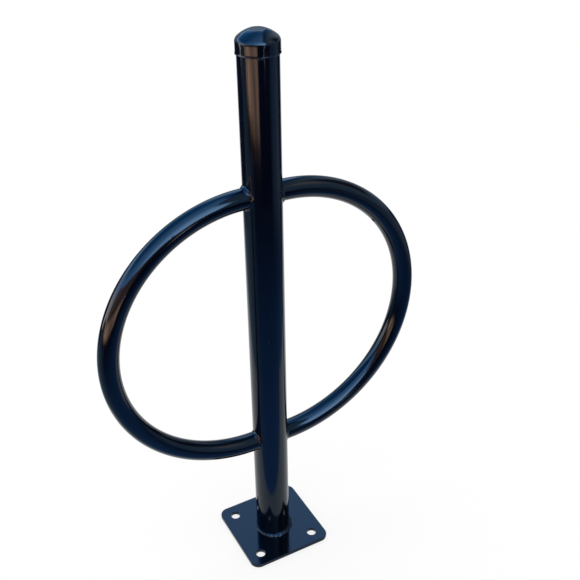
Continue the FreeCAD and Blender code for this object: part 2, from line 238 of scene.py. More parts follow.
def turned(profile, steps):
    """A profile of (radius, height) rows turned round the Z axis: (r cos a, r sin a, z)."""
    angle = np.linspace(0, TURN, steps + 1)
    radius, height = (column[:, None] for column in profile.T)
    return np.stack(np.broadcast_arrays(radius * np.cos(angle), radius * np.sin(angle), height), -1)


def lumps(angle, seed, lowest, highest):
    """Uneven swelling round a seam, about -1 to 1: a sum of cosines of lowest to highest waves a turn."""
    draw = np.random.default_rng(seed)
    waves = np.arange(lowest, highest + 1)
    phases = draw.uniform(0, TURN, waves.size)
    sizes = draw.uniform(*LUMP_SIZES, waves.size) / math.sqrt(waves.size)
    return (sizes * np.cos(np.multiply.outer(angle, waves) + phases)).sum(-1)


def lobe(angle, middle):
    """1 at one bearing round a seam, falling to 0 on its far side: ((1 + cos) / 2)^2."""
    return ((1 + np.cos(angle - middle)) / 2) ** 2


def bead(root, first_toe, second_toe, angle, ripples, height, fullness, seed):
    """A weld bead along a seam: each step is a closed loop from toe to toe over the face, back by the root.

    The face is a quadratic Bezier curve from toe to toe, whose middle point lies at the root plus the two
    legs times the fullness: 1/2 makes the face flat and 1 makes it bulge. Ripples stand out from the root
    as 2 |cos(n a / 2 - c (2 s - 1)^2)| - 4/pi, round crests with sharp valleys that bend to crescents
    across the face. Flecks lie over them: lumps along the seam times cos(k pi s) across it. Both fade at
    the toes.
    """
    across = np.linspace(0, 1, BEAD_FACE_POINTS)
    middle = root + fullness * (first_toe - root + second_toe - root)
    s = across[None, :, None]
    ends = (1 - s) ** 2 * first_toe[:, None] + s ** 2 * second_toe[:, None]
    face = ends + 2 * s * (1 - s) * middle[:, None]
    outward = face - root[:, None]
    outward /= np.linalg.norm(outward, axis=-1, keepdims=True) + MERGE
    phase = ripples * angle / 2 + BEAD_WANDER * lumps(angle, seed, *BEAD_WANDER_WAVES)
    crests = 2 * np.abs(np.cos(phase[:, None] - BEAD_CRESCENT * (2 * across - 1) ** 2)) - 4 / math.pi
    slowest, fastest = (round(share * ripples) for share in FLECK_WAVES)
    flecks = sum(
        lumps(angle, seed + k, slowest, fastest)[:, None] * np.cos(k * math.pi * across)
        for k in FLECK_HALF_WAVES)
    relief = height[:, None] * (CREST_SHARE * crests + FLECK_SHARE * flecks) * np.sin(math.pi * across)
    face = face + relief[..., None] * outward
    return np.concatenate([face, root[:, None], face[:, :1]], 1)


def post_pipe():
    """The post: a rectangle of wall turned round the post's axis, with close rows at its ends."""
    low, high = POST_LOW[2], POST_HIGH[2]
    rows = np.linspace(low, high, POST_ROWS)[1:-1]
    rise = np.concatenate([[low, low + POST_END], rows, [high - POST_END, high]])
    outside = np.stack([np.full_like(rise, POST_RADIUS), rise], -1)
    inside = outside[::-1] - (POST_WALL, 0)
    return turned(np.concatenate([outside, inside, outside[:1]]), POST_STEPS)


def loop_wall(radius):
    """One skin of the right loop: circles of one radius carried along a half circle.

    The centre line is (offset + R sin a, 0, centre + R cos a), and a circle's point stands off it by
    r (cos b outward + sin b Y). A straight run joins each end to its cope, x = sqrt(post^2 - (r sin b)^2).
    """
    b = np.linspace(0, TURN, LOOP_ROUND_STEPS + 1)
    a = np.linspace(0, math.pi, LOOP_BEND_STEPS + 1)[:, None]
    reach = LOOP_BEND + radius * np.cos(b)
    bend = np.stack(np.broadcast_arrays(
        LOOP_OFFSET + reach * np.sin(a), radius * np.sin(b), LOOP_CENTRE + reach * np.cos(a)), -1)
    cope = np.sqrt((POST_RADIUS + COPE_GAP) ** 2 - (radius * np.sin(b)) ** 2)
    share = np.arange(LOOP_RUN_ROWS)[:, None] / LOOP_RUN_ROWS
    runs = []
    for end in (bend[0], bend[-1]):
        run = np.repeat(end[None], LOOP_RUN_ROWS, 0)
        run[:, :, 0] = cope + share * (end[:, 0] - cope)
        runs.append(run)
    return np.concatenate([runs[0], bend, runs[1][::-1]])


def loop_pipe(side):
    """A loop: its outer skin and back along its bore, closed at the copes. The left one is turned round."""
    outside = loop_wall(LOOP_RADIUS)
    inside = loop_wall(LOOP_RADIUS - LOOP_WALL)[::-1]
    return np.concatenate([outside, inside, outside[:1]]) * (side, side, 1)


def loop_bead(side, upward, heavy, rough, face_seed, leg_seed):
    """The bead round one end of a loop: its root is the saddle curve where the two pipes meet.

    At angle b round the loop the root is (sqrt(post^2 - y^2), y, z) with y = r sin b and z = r cos b. One
    toe lies a leg along the loop, and the other lies on the post, a leg further out from the loop's axis.
    The legs are longest at the heavy angle, and the ripples highest at the rough one.
    """
    b = np.linspace(0, TURN, LOOP_BEAD_STEPS + 1)
    swell = LOOP_LEG_LUMPS * lumps(b, leg_seed, *LOOP_LEG_WAVES)
    leg = LOOP_BEAD_LEG * (LOOP_LEAN_LEG + LOOP_HEAVY_LEG * lobe(b, math.radians(heavy)) + swell)
    roughness = LOOP_RIPPLE_LEAST + (1 - LOOP_RIPPLE_LEAST) * lobe(b, math.radians(rough))
    out = np.stack([np.zeros_like(b), np.sin(b), np.cos(b)], -1)
    along = np.array([1.0, 0.0, 0.0])

    def on_post(points, radius):
        """Points round the loop's axis, moved along it to a post of that radius."""
        return points + along * np.sqrt(radius ** 2 - points[:, 1:2] ** 2)

    root = on_post((LOOP_RADIUS - BEAD_SINK) * out, POST_RADIUS - BEAD_SINK)
    loop_toe = on_post((LOOP_RADIUS - BEAD_SINK) * out, POST_RADIUS) + leg[:, None] * along
    post_toe = on_post((LOOP_RADIUS + leg[:, None]) * out, POST_RADIUS - BEAD_SINK)
    ripples = round(TURN * LOOP_RADIUS / LOOP_PITCH)
    height = LOOP_RIPPLE * roughness
    points = bead(root, loop_toe, post_toe, b, ripples, height, LOOP_FULLNESS, face_seed)
    points[..., 2] = LOOP_CENTRE + upward * (LOOP_BEND + points[..., 2])
    points[..., :2] *= side
    return points


def ring_bead(angle, radial_leg, rise, face_level, ripples, height, fullness, seed):
    """A bead round the post in the corner with a level face: one leg on the face and one on the post."""
    out = np.stack([np.cos(angle), np.sin(angle), np.zeros_like(angle)], -1)
    sunk = face_level - np.sign(rise.sum()) * BEAD_SINK
    root = (POST_RADIUS - BEAD_SINK) * out + sunk * UP
    face_toe = (POST_RADIUS + radial_leg[:, None]) * out + sunk * UP
    post_toe = root + rise[:, None] * UP
    return bead(root, face_toe, post_toe, angle, ripples, height, fullness, seed)


def foot_bead():
    """The bead round the post's foot: lean at its left, where the torch ran fast, and full elsewhere."""
    angle = np.linspace(0, TURN, FOOT_BEAD_STEPS + 1)
    lean = lobe(angle, FOOT_LEAN_BEARING)
    radial, rise = (
        FOOT_BEAD_LEG * (full - loss * lean + swell * lumps(angle, seed, *FOOT_LEG_WAVES))
        for full, loss, swell, seed in FOOT_LEGS)
    height = FOOT_RIPPLE * (1 - FOOT_RIPPLE_LOSS * lean)
    ripples = round(TURN * POST_RADIUS / FOOT_PITCH)
    return ring_bead(angle, radial, rise, PLATE_TOP, ripples, height, FOOT_FULLNESS, FOOT_SEED)


def cap_tacks():
    """The tacks under the cap's skirt: short beads with two swells that end in points.

    Along a tack, t from -1 to 1, its legs and ripples taper as sqrt(1 - t^2) (m + w cos(2 pi t + p)).
    """
    t = np.linspace(-1, 1, TACK_STEPS + 1)
    taper = np.sqrt(1 - t ** 2) * (TACK_MEAN + TACK_SWELL * np.cos(2 * math.pi * t + TACK_SWELL_PHASE))
    radial = ((CAP_RADIUS - POST_RADIUS) * TACK_REACH + BEAD_SINK) * taper - BEAD_SINK
    rise = -TACK_HEIGHT * taper
    height = TACK_RIPPLE * taper
    skirt_foot = CAP_LOW[2] + TACK_BITE
    tacks = []
    for number in range(TACK_COUNT):
        angle = TACK_BEARING + number * TURN / TACK_COUNT + t * TACK_LENGTH / 2 / POST_RADIUS
        seed = TACK_SEED + number
        tacks.append(ring_bead(
            angle, radial, rise, skirt_foot, TACK_RIPPLE_COUNT, height, TACK_FULLNESS, seed))
    return tacks


def cap_side(depth):
    """The cap's profile at a depth under its outer skin, from its axis out and down to its skirt's foot.

    Each stretch is an arc about the same centre as the skin's: the crown's edge, the bulged flank and the
    shoulder. The flank's centre is the lower crossing of circles about the shoulder's centre and the
    crown's edge.
    """
    top = CAP_HIGH[2]
    shoulder = np.array([CAP_RADIUS - CAP_SHOULDER, CAP_LOW[2] + CAP_SKIRT])
    edge = np.array([CAP_CROWN, top])
    span = np.linalg.norm(edge - shoulder)
    ahead = (edge - shoulder) / span
    along = ((CAP_FLANK - CAP_SHOULDER) ** 2 - CAP_FLANK ** 2 + span ** 2) / (2 * span)
    aside = math.sqrt((CAP_FLANK - CAP_SHOULDER) ** 2 - along ** 2)
    flank = shoulder + along * ahead - aside * np.array([ahead[1], -ahead[0]])
    rise = top - CAP_CROWN_EDGE - flank[1]
    crown = flank + (math.sqrt((CAP_FLANK - CAP_CROWN_EDGE) ** 2 - rise ** 2), rise)
    crown_turn = math.atan2(*(crown - flank)[::-1])
    shoulder_turn = math.atan2(*(shoulder - flank)[::-1])
    flat = np.linspace(0, crown[0], CAP_CROWN_POINTS)[:-1]
    foot = CAP_LOW[2] + CAP_WALL / 2
    skirt = np.linspace(shoulder[1], foot, CAP_SIDE_POINTS)[1:]
    flare = CAP_FLARE * np.clip(1 - (skirt - foot) / CAP_FLARE_RISE, 0, 1) ** 2
    return np.concatenate([
        np.stack([flat, np.full_like(flat, top - depth)], -1),
        arc(crown, CAP_CROWN_EDGE - depth, QUARTER, crown_turn, CAP_EDGE_POINTS),
        arc(flank, CAP_FLANK - depth, crown_turn, shoulder_turn, CAP_SIDE_POINTS)[1:],
        arc(shoulder, CAP_SHOULDER - depth, shoulder_turn, 0, CAP_SIDE_POINTS)[1:],
        np.stack([CAP_RADIUS - depth + flare, skirt], -1),
    ])


def pressed_cap():
    """The cap: its outer skin, a half round edge at the skirt's foot, and its inner skin, turned round.

    The press left slight upright wrinkles in the skirt: its radius grows by lumps that fade out at the
    shoulder.
    """
    middle = CAP_RADIUS + CAP_FLARE - CAP_WALL / 2
    edge = arc((middle, CAP_LOW[2] + CAP_WALL / 2), CAP_WALL / 2, 0, -math.pi, CAP_LIP_POINTS)[1:-1]
    cap = turned(np.concatenate([cap_side(0), edge, cap_side(CAP_WALL)[::-1]]), CAP_STEPS)
    angle = np.linspace(0, TURN, CAP_STEPS + 1)
    fade = np.clip((CAP_LOW[2] + CAP_SKIRT - cap[..., 2]) / CAP_WRINKLE_RISE, 0, 1)
    swell = fade * CAP_WRINKLE * lumps(angle, CAP_WRINKLE_SEED, *CAP_WRINKLE_WAVES)
    cap[..., :2] *= 1 + (swell / CAP_RADIUS)[..., None]
    return cap


def drop(place, along, out, half_length, half_width, height):
    """A drop of coat, an egg whose middle lies on the surface.

    At turn t and tilt p its points stand off the place by l cos p cos t along the pipe, w cos p sin t
    across it and h sin p outwards.
    """
    turn = np.linspace(0, TURN, DROP_TURN_POINTS)[:, None]
    tilt = np.linspace(-QUARTER, QUARTER, DROP_TILT_POINTS)[:, None, None]
    spread = half_length * np.cos(turn) * along + half_width * np.sin(turn) * np.cross(out, along)
    return place + np.cos(tilt) * spread + height * np.sin(tilt) * out


def coat_drops():
    """The drops on the post and the loops. On a loop, out = cos b (sin a, 0, cos a) + sin b Y."""
    bearing, rise, size = POST_DROP
    out = np.array([math.cos(bearing), math.sin(bearing), 0.0])
    drops = [drop(POST_RADIUS * out + rise * UP, UP, out, *size)]
    for side, a, b, size in LOOP_DROPS:
        outer = np.array([math.sin(a), 0.0, math.cos(a)])
        along = np.array([math.cos(a), 0.0, -math.sin(a)])
        out = math.cos(b) * outer + np.array([0.0, math.sin(b), 0.0])
        place = np.array([LOOP_OFFSET, 0.0, LOOP_CENTRE]) + LOOP_BEND * outer + LOOP_RADIUS * out
        drops.append(drop(place, along, out, *size) * (side, side, 1))
    return drops


def plate_outline(inset):
    """A quarter of the plate's outline from the X axis to the Y axis: a straight, an arc and a straight."""
    centre = PLATE_REACH - PLATE_CORNER
    rise = np.linspace(0, centre, PLATE_SIDE_POINTS)[:-1]
    side = np.stack([np.full_like(rise, PLATE_REACH - inset), rise], -1)
    corner = arc((centre, centre), PLATE_CORNER - inset, 0, QUARTER, PLATE_CORNER_POINTS)
    return np.concatenate([side, corner, side[::-1, ::-1]])


def level(plan, height):
    """A plan of points at one height."""
    return np.concatenate([plan, np.full_like(plan[..., :1], height)], -1)


def plate_quarter():
    """The grids of a quarter of the plate: its two faces, its outer wall and its hole's wall.

    A face runs from the hole's rim to the quarter's border along rays from the hole's centre. A wall
    carries a profile of insets and heights, with round lips, along the outline or round the hole.
    """
    lip = np.linspace(0, QUARTER, PLATE_LIP_POINTS)
    share = PLATE_FACE_SHARES[:, None, None]
    centre = np.array([HOLE_PLACE, HOLE_PLACE])

    def border(inset):
        """The quarter's border: out along X, round the outline and back along Y."""
        inner = np.linspace(0, PLATE_REACH - inset, PLATE_AXIS_POINTS)[:-1]
        along_x = np.stack([inner, np.zeros_like(inner)], -1)
        return np.concatenate([along_x, plate_outline(inset), along_x[::-1, ::-1]])

    rays = border(PLATE_EDGE) - centre
    rays /= np.linalg.norm(rays, axis=-1, keepdims=True)

    def rim(grow):
        """The hole's rim, wider by its lip."""
        return centre + (HOLE_RADIUS + grow) * rays

    def face(inset, grow, height):
        """A level face from the rim to the border."""
        return level((1 - share) * rim(grow) + share * border(inset), height)

    def wall(upper_lip, carry):
        """A wall from face to face, with a round lip at each."""
        insets = np.concatenate([upper_lip * (1 - np.sin(lip)), UNDER_LIP * (1 - np.cos(lip))])
        heights = np.concatenate([PLATE_TOP - upper_lip * (1 - np.cos(lip)), UNDER_LIP * (1 - np.sin(lip))])
        return np.stack([level(carry(inset), height) for inset, height in zip(insets, heights)])

    return [
        face(PLATE_EDGE, HOLE_LIP, PLATE_TOP),
        face(UNDER_LIP, UNDER_LIP, 0),
        wall(PLATE_EDGE, plate_outline),
        wall(HOLE_LIP, rim),
    ]


def base_plate():
    """The plate: its quarter in all four places."""
    quarter = plate_quarter()
    return [grid * (x, y, 1) for x in (1, -1) for y in (1, -1) for grid in quarter]


class Shade:
    """A socket of a node tree. Operators on it add Math nodes, and node() adds a node of any other kind."""

    def __init__(self, tree, socket=None):
        self.tree = tree
        self.socket = socket

    def node(self, kind, settings, inputs, output=0):
        """Adds a node: its settings first, then its sockets' values or links. Gives one of its outputs."""
        made = self.tree.nodes.new(kind)
        for name, value in settings.items():
            setattr(made, name, value)
        for socket, value in inputs.items():
            if isinstance(value, Shade):
                self.tree.links.new(value.socket, made.inputs[socket])
            else:
                made.inputs[socket].default_value = value
        return Shade(self.tree, made.outputs[output] if made.outputs else None)

    def math(self, operation, *operands):
        """A Math node of sockets and numbers."""
        return self.node("ShaderNodeMath", {"operation": operation}, dict(enumerate(operands)))

    def __add__(self, other):
        return self.math("ADD", self, other)

    def __sub__(self, other):
        return self.math("SUBTRACT", self, other)

    def __rsub__(self, other):
        return self.math("SUBTRACT", other, self)

    def __mul__(self, other):
        return self.math("MULTIPLY", self, other)

    def __truediv__(self, other):
        return self.math("DIVIDE", self, other)

    def __rtruediv__(self, other):
        return self.math("DIVIDE", other, self)

    def __abs__(self):
        return self.math("ABSOLUTE", self)

    __radd__ = __add__
    __rmul__ = __mul__

    def along(self, direction):
        """How far a vector reaches along a direction."""
        settings = {"operation": "DOT_PRODUCT"}
        return self.node("ShaderNodeVectorMath", settings, {0: self, 1: tuple(direction)}, "Value")

    def length(self):
        """A vector's length."""
        return self.node("ShaderNodeVectorMath", {"operation": "LENGTH"}, {0: self}, "Value")

    def mix(self, low, high):
        """A colour between two others, by this factor: a Mix node's colours are 6 and 7, its result 2."""
        return self.node("ShaderNodeMix", {"data_type": "RGBA"}, {0: self, 6: low, 7: high}, 2)

    def ramp(self, low, high):
        """Rises smoothly from 0 at low to 1 at high."""
        limits = {"From Min": low, "From Max": high, "Value": self}
        return self.node("ShaderNodeMapRange", {"interpolation_type": "SMOOTHSTEP"}, limits)


def new_tree(owner):
    """An empty node tree of a material or a world, as a starting point for nodes."""
    owner.use_nodes = True
    owner.node_tree.nodes.clear()
    return Shade(owner.node_tree)


def noise(shade, places, cells, detail=2.0):
    """Soft noise, about 0 to 1, with that many cells to a metre."""
    return shade.node("ShaderNodeTexNoise", {}, {"Vector": places, "Scale": cells, "Detail": detail})


# The coat: its two tones, how much it mirrors and in which tint, and its least roughness and added haze.
# Cells count the noise's cells to a metre, and reliefs are in millimetres.
COAT_BLACK = (0.0005, 0.0010, 0.0030, 1.0)
COAT_NAVY = (0.0010, 0.0016, 0.0045, 1.0)
COAT_MIRROR = 0.28
COAT_TINT = (0.45, 0.72, 1.0, 1.0)
COAT_ROUGHNESS = 0.08
COAT_HAZE = 0.06
TONE_CELLS = 18.0
TONE_SPREAD = 0.3, 0.7
HAZE_CELLS = 45.0
HAZE_DETAIL = 4.0
RELIEF_DETAIL = 1.0
PEEL_CELLS = 420.0
PEEL_RELIEF = 0.008
WAVE_CELLS = 40.0
WAVE_RELIEF = 0.06
NIB_CELLS = 38.0
NIB_EDGE = 0.008, 0.026
NIB_PATCH_CELLS = 12.0
NIB_PATCH = 0.52, 0.62
NIB_RELIEF = 0.12


def gloss_coat(name, peel=1.0, wave=1.0):
    """Gloss black powder coat with a navy cast: orange peel, slow waviness and dust nibs in one skin."""
    material = bpy.data.materials.new(name)
    shade = new_tree(material)
    places = shade.node("ShaderNodeTexCoord", {}, {}, "Object")
    colour = noise(shade, places, TONE_CELLS).ramp(*TONE_SPREAD).mix(COAT_BLACK, COAT_NAVY)
    roughness = COAT_ROUGHNESS + COAT_HAZE * noise(shade, places, HAZE_CELLS, HAZE_DETAIL)
    from_nib = shade.node("ShaderNodeTexVoronoi", {}, {"Vector": places, "Scale": NIB_CELLS})
    patches = noise(shade, places, NIB_PATCH_CELLS).ramp(*NIB_PATCH)
    nib_relief = NIB_RELIEF * ((1 - from_nib.ramp(*NIB_EDGE)) * patches)
    peel_relief = PEEL_RELIEF * peel * noise(shade, places, PEEL_CELLS, RELIEF_DETAIL)
    wave_relief = WAVE_RELIEF * wave * noise(shade, places, WAVE_CELLS, RELIEF_DETAIL)
    relief = peel_relief + wave_relief + nib_relief
    coat = shade.node("ShaderNodeBsdfPrincipled", {}, {
        "Base Color": colour,
        "Roughness": roughness,
        "Specular IOR Level": COAT_MIRROR,
        "Specular Tint": COAT_TINT,
        "Normal": shade.node("ShaderNodeBump", {}, {"Height": relief, "Distance": MM}),
    })
    shade.node("ShaderNodeOutputMaterial", {}, {"Surface": coat})
    return material


# The photograph's view: the camera's place, its bearing from +Y towards +X, its tilt and its roll, and its
# lens and sensor in millimetres.
CAMERA_PLACE = np.array([-0.51750, -1.05112, 1.24443])
CAMERA_BEARING = 0.4904
CAMERA_TILT = 0.5520
CAMERA_ROLL = -0.0149
CAMERA_LENS = 54.067
CAMERA_SENSOR = 36.0
AHEAD = np.array([math.sin(CAMERA_BEARING), math.cos(CAMERA_BEARING), 0.0])
ASIDE = np.array([math.cos(CAMERA_BEARING), -math.sin(CAMERA_BEARING), 0.0])

# The stretch of floor that the picture shows: its front edge, its half width beside the post and how that
# grows.
VIEW_HALF = CAMERA_SENSOR / 2 / CAMERA_LENS
CAMERA_AHEAD = CAMERA_PLACE @ AHEAD
VIEW_FRONT = CAMERA_AHEAD + CAMERA_PLACE[2] / math.tan(CAMERA_TILT + math.atan(VIEW_HALF))
VIEW_SPREAD = VIEW_HALF * math.cos(CAMERA_TILT)
VIEW_HALF_WIDTH = VIEW_HALF * math.sin(CAMERA_TILT) * CAMERA_PLACE[2] - VIEW_SPREAD * CAMERA_AHEAD


def frame_of(place, right, up, back):
    """The matrix of an object at a place with three axes."""
    return Matrix([*np.stack([right, up, back, place], -1).tolist(), (0.0, 0.0, 0.0, 1.0)])


def add_camera():
    """A plain lens at the photograph's place, rolled about its own view."""
    view = math.cos(CAMERA_TILT) * AHEAD - math.sin(CAMERA_TILT) * UP
    upright = np.cross(ASIDE, view)
    right = math.cos(CAMERA_ROLL) * ASIDE + math.sin(CAMERA_ROLL) * upright
    up = math.cos(CAMERA_ROLL) * upright - math.sin(CAMERA_ROLL) * ASIDE
    lens = bpy.data.cameras.new("view")
    lens.lens = CAMERA_LENS
    lens.sensor_width = CAMERA_SENSOR
    camera = bpy.data.objects.new("view", lens)
    camera.matrix_world = frame_of(CAMERA_PLACE, right, up, -view)
    bpy.context.scene.collection.objects.link(camera)
    bpy.context.scene.camera = camera


# Colours that the coat mirrors: the sky, the walls under it, and the glowing sheet and card on the floor,
# whose glow paints reflections on the coat.
SKY_DEEP = (0.12, 0.85, 1.95, 1.0)
SKY_BLUE = (1.90, 3.50, 5.70, 1.0)
SKY_GLARE = (9.00, 10.5, 13.0, 1.0)
SKY_PALE = (2.60, 3.80, 5.40, 1.0)
SKY_BEHIND = (1.40, 2.12, 3.32, 1.0)
SKY_TEAL = (0.12, 0.42, 0.85, 1.0)
SKY_GREY = (0.75, 0.92, 1.08, 1.0)
SKY_GLOW = (2.40, 1.70, 1.35, 1.0)
WALL_CREAM = (5.50, 4.60, 3.90, 1.0)
WALL_WARM = (1.30, 0.75, 0.50, 1.0)
WALL_DARK = (0.14, 0.12, 0.15, 1.0)
WALL_GREY = (0.38, 0.51, 0.67, 1.0)
WALL_SLATE = (0.58, 0.76, 1.05, 1.0)
# The sheet's glow, painted reflections in the coat: navy near, nearly black far, grey at left and right,
# and two glowing strips that paint pale and warm highlights.
SHEET_GLOW_NEAR = (0.15, 0.41, 0.94, 1.0)
SHEET_GLOW_FAR = (0.02, 0.035, 0.09, 1.0)
SHEET_GLOW_LEFT = (0.30, 0.45, 0.58, 1.0)
SHEET_GLOW_RIGHT = (0.33, 0.44, 0.63, 1.0)
STRIP_PALE = (6.60, 5.30, 4.20, 1.0)
STRIP_WARM = (8.00, 4.80, 4.00, 1.0)
# The card's warm glow, a painted reflection on the coat.
CARD_GLOW = (7.4, 3.0, 1.55, 1.0)
BLACK = (0.0, 0.0, 0.0, 1.0)
WHITE = (1.0, 1.0, 1.0, 1.0)

# Where one colour of the room gives way to the next. A direction's shares along up, right and ahead run
# from -1 to 1, and a pair holds the shares between which the change takes place.
GLARE_WAY = 0.55 * ASIDE - 0.83 * AHEAD
DEEP_TO_BLUE = -0.45, 0.45
BLUE_TO_GLARE = 0.4, 1.0
BEHIND_AHEAD = 0.54, 0.64
BEHIND_RIGHT = -0.45, -0.15
PALE_RISE = 0.3, 0.55
PALE_RIGHT = -0.75, -0.4
PALE_AHEAD = 0.2, 0.5
PALE_SHIFT = 0.3
TEAL_TO_GREY = 0.30, 0.44
DARK_RIGHT = 0.5, 0.66
DARK_AHEAD = 0.05, 0.3
GLOW_AHEAD = -0.18
GLOW_HALF = 0.08, 0.3
GLOW_RIGHT = 0.6, 0.7
GLOW_RISE = 0.42, 0.58
WARM_TO_DARK = -0.5, 0.3
TO_SLATE = 0.6, 0.75
FROM_CREAM = -0.9, -0.7
TO_WALL_BEHIND = 0.1, 0.4

# The border between the blue and the grey slants, is ragged and bulges low in front. The skyline is ragged
# too, and lower at both sides and higher behind.
RAGGED_CELLS = 7.0
BORDER = 0.25, 0.29
BORDER_SLANT = 0.13
BORDER_RAGGED = 0.05
BORDER_BULGE = 0.28
BULGE_RISE = 0.45, 0.9
BULGE_AHEAD = -0.3, 0.1
SKYLINE = 0.27, 0.36
SKYLINE_RAGGED = 0.08
SKYLINE_SIDES = 0.12
SKYLINE_RIGHT = 0.2, 0.5
SKYLINE_LEFT = -0.8, -0.5
SKYLINE_BEHIND = 0.08
SKYLINE_AHEAD = 0.4, 0.65


def blue_sky(ray, rise, right, ahead):
    """Blue that is deepest overhead on the left, brightens towards the front right and pales low down."""
    glare = ray.along(GLARE_WAY)
    blue = glare.ramp(*DEEP_TO_BLUE).mix(SKY_DEEP, SKY_BLUE)
    bright = glare.ramp(*BLUE_TO_GLARE).mix(blue, SKY_GLARE)
    behind = ahead.ramp(*BEHIND_AHEAD) * right.ramp(*BEHIND_RIGHT)
    low = 1 - rise.ramp(*PALE_RISE)
    beside = 1 - (right - PALE_SHIFT * ahead.ramp(*PALE_AHEAD)).ramp(*PALE_RIGHT)
    return (low * beside).mix(behind.mix(bright, SKY_BEHIND), SKY_PALE)


def grey_side(rise, right, ahead):
    """The right side of the room: teal by the blue, then grey, dark behind the rack, and a warm glow."""
    grey = right.ramp(*TEAL_TO_GREY).mix(SKY_TEAL, SKY_GREY)
    dark = (right.ramp(*DARK_RIGHT) * ahead.ramp(*DARK_AHEAD)).mix(grey, WALL_DARK)
    from_glow = abs(ahead - GLOW_AHEAD)
    glow = (1 - from_glow.ramp(*GLOW_HALF)) * right.ramp(*GLOW_RIGHT) * rise.ramp(*GLOW_RISE)
    return glow.mix(dark, SKY_GLOW)


def low_walls(right, ahead):
    """Walls under the sky: cream far left, warm to dark in front, slate at the right, grey behind."""
    front = right.ramp(*WARM_TO_DARK).mix(WALL_WARM, WALL_DARK)
    sides = right.ramp(*TO_SLATE).mix(right.ramp(*FROM_CREAM).mix(WALL_CREAM, front), WALL_SLATE)
    return ahead.ramp(*TO_WALL_BEHIND).mix(sides, WALL_GREY)


def add_room():
    """A round sky over walls, which the coat mirrors. To all other rays it is plain white."""
    world = bpy.data.worlds.new("room")
    bpy.context.scene.world = world
    shade = new_tree(world)
    ray = shade.node("ShaderNodeTexCoord", {}, {}, "Generated")
    ragged = noise(shade, ray, RAGGED_CELLS) - 0.5
    rise, right, ahead = (ray.along(way) for way in (UP, ASIDE, AHEAD))
    bulge = (1 - rise.ramp(*BULGE_RISE)) * (1 - ahead.ramp(*BULGE_AHEAD))
    border = right + BORDER_SLANT * ahead + BORDER_RAGGED * ragged - BORDER_BULGE * bulge
    sky = border.ramp(*BORDER).mix(blue_sky(ray, rise, right, ahead), grey_side(rise, right, ahead))
    sides = right.ramp(*SKYLINE_RIGHT) + 1 - right.ramp(*SKYLINE_LEFT)
    behind = ahead.ramp(*SKYLINE_AHEAD)
    skyline = rise + SKYLINE_RAGGED * ragged + SKYLINE_SIDES * sides - SKYLINE_BEHIND * behind
    mirrored = skyline.ramp(*SKYLINE).mix(low_walls(right, ahead), sky)
    glossy = shade.node("ShaderNodeLightPath", {}, {}, "Is Glossy Ray")
    seen = glossy.mix(WHITE, mirrored)
    room = shade.node("ShaderNodeBackground", {}, {"Color": seen, "Strength": 1.0})
    shade.node("ShaderNodeOutputWorld", {}, {"Surface": room})


# The key lamp: its place and the point that it faces, its side and its radiance.
KEY_PLACE = -0.6 * ASIDE + 0.3 * AHEAD + 3.0 * UP
KEY_TARGET = 0.3 * UP
KEY_SIDE = 2.2
KEY_RADIANCE = 1.2


def add_key():
    """A broad soft lamp over the rack. The coat mirrors the sky in its place.

    Its power is its radiance times pi times its area.
    """
    lamp = bpy.data.lights.new("key", "AREA")
    lamp.size = KEY_SIDE
    lamp.energy = KEY_RADIANCE * math.pi * KEY_SIDE ** 2
    back = (KEY_PLACE - KEY_TARGET) / np.linalg.norm(KEY_PLACE - KEY_TARGET)
    side = np.cross(UP, back) / np.linalg.norm(np.cross(UP, back))
    key = bpy.data.objects.new("key", lamp)
    key.matrix_world = frame_of(KEY_PLACE, side, np.cross(back, side), back)
    key.visible_camera = False
    key.visible_glossy = False
    bpy.context.scene.collection.objects.link(key)


# The floor: its reach, the share of it that is plain white at the plate, the distances between which all of
# it turns white, and its matt colour.
FLOOR_REACH = 12.0
FLOOR_WHITE = 0.72
FLOOR_FADE = 0.35, 1.1
FLOOR_MATT = (0.9, 0.9, 0.9, 1.0)

# The sheet of painted reflections, a glow that only the coat mirrors: its height over the floor, its soft
# edge, and where its colours change, by the distance from the post, the share of that to the right, and the
# place ahead. Glowing strips start at a distance and lie between two bearings from straight behind the
# post.
SHEET_LIFT = 1.0 * MM
SHEET_EDGE = 0.02
NEAR_TO_FAR = 0.2, 1.6
LEFT_SHARE = -0.9, -0.6
LEFT_END_AHEAD = 0.0, 0.4
LEFT_END = 1.0, 1.6
RIGHT_SHARE = 0.8, 0.97
RIGHT_START = 0.9, 1.7
STRIP_START = 3.10, 3.16
STRIP_SOFT = math.radians(1)
LEFT_STRIP = math.radians(-88), math.radians(-78)
RIGHT_STRIP = math.radians(142.5), math.radians(147.5)

# The card, a glowing sheet that paints a warm reflection on the coat: its bearings left of the camera, its
# distance, its foot and how that climbs and fades, its mottling, how much brighter its left end is, how
# much its upper part is dimmed, and its brightest spot.
CARD_SPAN = math.radians(1.0), math.radians(66.0)
CARD_POINTS = 25
CARD_DISTANCE = 1.9
CARD_LOW = 2.0 * MM
CARD_TOP = 1.2
CARD_FOOT = 0.045
CARD_CLIMB = 0.26
CARD_FADE = 0.09
MOTTLE_CELLS = 2.4
MOTTLE_SPREAD = 0.3, 0.7
MOTTLE_LEAST = 0.6
MOTTLE_ADDED = 0.8
CARD_LEFT = 0.6, 0.92
CARD_LEFT_ADDED = 0.8
CARD_DIM = 0.4, 0.56
CARD_DIMMED = 0.8
CARD_GREATEST = (MOTTLE_LEAST + MOTTLE_ADDED) * (1 + CARD_LEFT_ADDED)
CARD_BRIGHT = (*(CARD_GREATEST * part for part in CARD_GLOW[:3]), 1.0)


